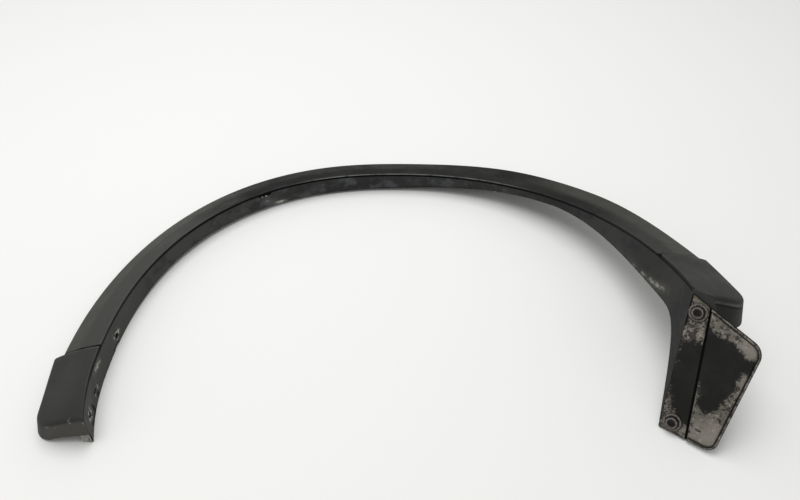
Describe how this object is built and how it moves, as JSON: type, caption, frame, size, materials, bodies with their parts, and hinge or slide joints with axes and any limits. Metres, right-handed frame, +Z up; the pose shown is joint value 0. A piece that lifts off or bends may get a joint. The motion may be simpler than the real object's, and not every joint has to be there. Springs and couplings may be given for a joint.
{
  "type": "wheel arch trim",
  "caption": "Curved black plastic wheel arch trim with a deep inner flange, stepped end sections and a screwed-on rubber mud flap, lying face up.",
  "frame": {"origin": "middle of the bounding box in plan, on the floor the trim lies on", "axes": "+X along the span towards the end with the mud flap, +Y up the arch to its crown, +Z up, away from the car's body side"},
  "size_m": [0.838, 0.5432, 0.1406],
  "materials": {
    "arch_plastic": "fine-grained black plastic, weathered grey and dusty",
    "flap_rubber": "black rubber with dried mud round the edges",
    "screw_steel": "black-coated steel, dusty",
    "nut_steel": "zinc-plated sheet steel",
    "clip_nylon": "natural nylon"
  },
  "bodies": {
    "root": {"arch_moulding": "arch_plastic", "mud_flap": "flap_rubber", "flap_screws": "screw_steel", "flap_nuts": "nut_steel", "body_clips": "clip_nylon"}
  },
  "joints": []
}
